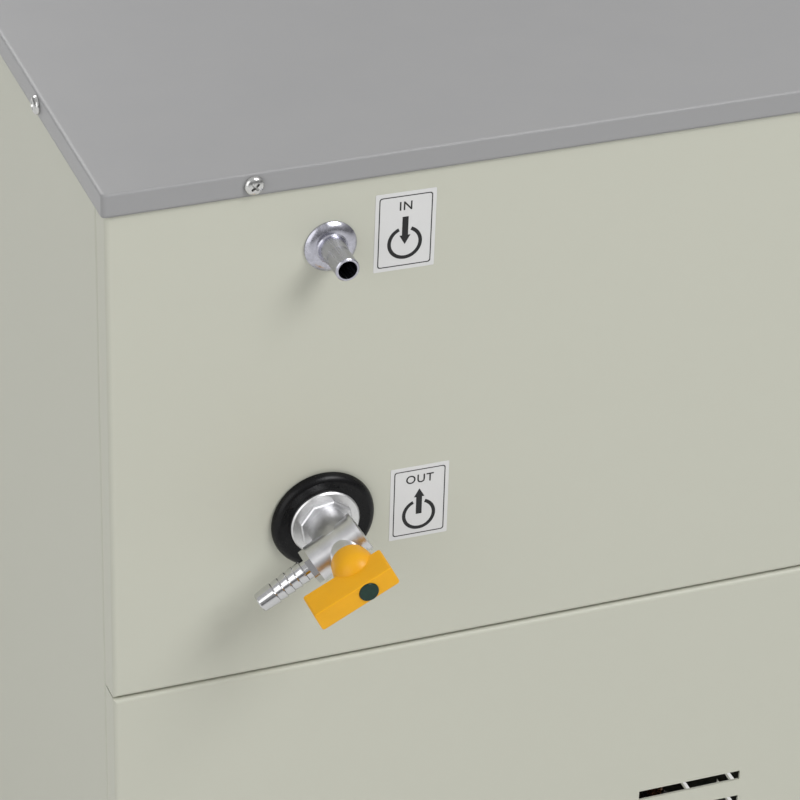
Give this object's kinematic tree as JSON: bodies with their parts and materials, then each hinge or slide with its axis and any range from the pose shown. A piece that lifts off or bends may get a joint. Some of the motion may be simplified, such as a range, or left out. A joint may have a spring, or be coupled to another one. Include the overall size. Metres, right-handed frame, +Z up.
{
  "type": "recirculating chiller",
  "caption": "Bench recirculating chiller: painted cabinet with coolant return nozzle and supply valve on the rear panel, controls in front, cooled bath under a lid.",
  "frame": {"origin": "centre of the whole object in plan, on the plane the feet stand on", "axes": "+Z up, -Y towards the control panel, +Y out of the port panel, +X to the right as seen from the front"},
  "size_m": [0.388, 0.5442, 0.689],
  "materials": {
    "panel_paint": "light grey-beige powder coat, fine orange peel",
    "cover_paint": "mid grey satin paint",
    "pan_paint": "dark grey powder coat",
    "black_rubber": "moulded black rubber",
    "stainless": "polished stainless steel",
    "nickel_cast": "nickel-plated brass, satin cast surface",
    "zinc_steel": "zinc-plated steel",
    "lever_yellow": "yellow-orange moulded nylon",
    "cap_green": "dark green gloss cap",
    "seat_white": "white fluoropolymer",
    "foam": "rigid foam, pale yellow",
    "copper": "drawn copper tube",
    "compressor_black": "black enamel",
    "fin_aluminium": "bare aluminium fin stock",
    "black_plastic": "black moulded plastic",
    "key_grey": "light grey moulded keys",
    "window_tint": "dark tinted display window",
    "label_paper": "white sticker film, printed",
    "label_ink": "black print",
    "white_marks": "white moulded or printed marks",
    "display_light": "lit red display segments",
    "board_green": "green circuit board"
  },
  "bodies": {
    "cabinet": {"ball_seat": "seat_white", "base_pan": "pan_paint", "bath_insulation": "foam", "bath_lid": "cover_paint", "bath_shelf": "pan_paint", "bath_tank": "stainless", "compressor": "compressor_black", "compressor_mounts": "black_rubber", "condenser": "fin_aluminium", "control_board": "board_green", "cooling_coil": "copper", "cooling_switch_frame": "black_plastic", "cover_screws": "zinc_steel", "discharge_line": "copper", "display_bezel": "black_plastic", "display_window": "window_tint", "fan_frame": "pan_paint", "fan_motor": "compressor_black", "feed_line": "copper", "filter_drier": "copper", "front_lower_panel": "panel_paint", "front_upper_panel": "panel_paint", "hose_tail": "nickel_cast", "inlet_nozzle": "stainless", "inlet_nut": "zinc_steel", "left_side_panel": "panel_paint", "lid_knob": "black_plastic", "liquid_line": "copper", "outlet_grommet": "black_rubber", "outlet_hose": "black_rubber", "outlet_washer": "stainless", "power_inlet": "black_plastic", "power_switch_frame": "black_plastic", "pump_casing": "black_plastic", "pump_motor": "compressor_black", "pump_spacers": "zinc_steel", "pump_switch_frame": "black_plastic", "rear_lower_panel": "panel_paint", "rear_upper_panel": "panel_paint", "return_tube": "black_rubber", "right_side_panel": "panel_paint", "rubber_feet": "black_rubber", "shank_nut": "zinc_steel", "suction_hose": "black_rubber", "suction_line": "copper", "top_cover": "cover_paint", "valve_body": "nickel_cast"},
    "lever": {"valve_ball": "stainless", "valve_stem": "stainless", "valve_lever": "lever_yellow", "lever_screw": "zinc_steel", "lever_cap": "cap_green"},
    "key_down": {"key_down": "key_grey"},
    "key_set": {"key_set": "key_grey"},
    "key_up": {"key_up": "key_grey"},
    "power_rocker": {"power_rocker": "black_plastic"},
    "cooling_rocker": {"cooling_rocker": "black_plastic"},
    "pump_rocker": {"pump_rocker": "black_plastic"},
    "fan": {"fan_rotor": "black_plastic"},
    "impeller": {"pump_impeller": "black_plastic"}
  },
  "joints": [
    {"name": "valve_turn", "type": "hinge", "parent": "cabinet", "child": "lever", "pos_m": [0.0992, 0.23617, 0.4931], "axis": [0, -1, 0], "range_deg": [0, 90]},
    {"name": "key_down_press", "type": "slide", "parent": "cabinet", "child": "key_down", "axis": [0, 1, 0], "range_m": [0, 0.0012], "stiffness_N_per_m": 300},
    {"name": "key_set_press", "type": "slide", "parent": "cabinet", "child": "key_set", "axis": [0, 1, 0], "range_m": [0, 0.0012], "stiffness_N_per_m": 300},
    {"name": "key_up_press", "type": "slide", "parent": "cabinet", "child": "key_up", "axis": [0, 1, 0], "range_m": [0, 0.0012], "stiffness_N_per_m": 300},
    {"name": "power_switch_rock", "type": "hinge", "parent": "cabinet", "child": "power_rocker", "pos_m": [0.074, -0.26503, 0.564], "axis": [-1, 0, 0], "range_deg": [0, 18]},
    {"name": "cooling_switch_rock", "type": "hinge", "parent": "cabinet", "child": "cooling_rocker", "pos_m": [0.11, -0.26503, 0.564], "axis": [-1, 0, 0], "range_deg": [0, 18]},
    {"name": "pump_switch_rock", "type": "hinge", "parent": "cabinet", "child": "pump_rocker", "pos_m": [0.146, -0.26503, 0.564], "axis": [-1, 0, 0], "range_deg": [0, 18]},
    {"name": "fan_spin", "type": "hinge", "parent": "cabinet", "child": "fan", "pos_m": [0, -0.16603, 0.1575], "axis": [0, 1, 0], "continuous": true},
    {"name": "impeller_spin", "type": "hinge", "parent": "cabinet", "child": "impeller", "pos_m": [0.0742, 0.01997, 0.37], "axis": [0, 0, 1], "continuous": true}
  ]
}
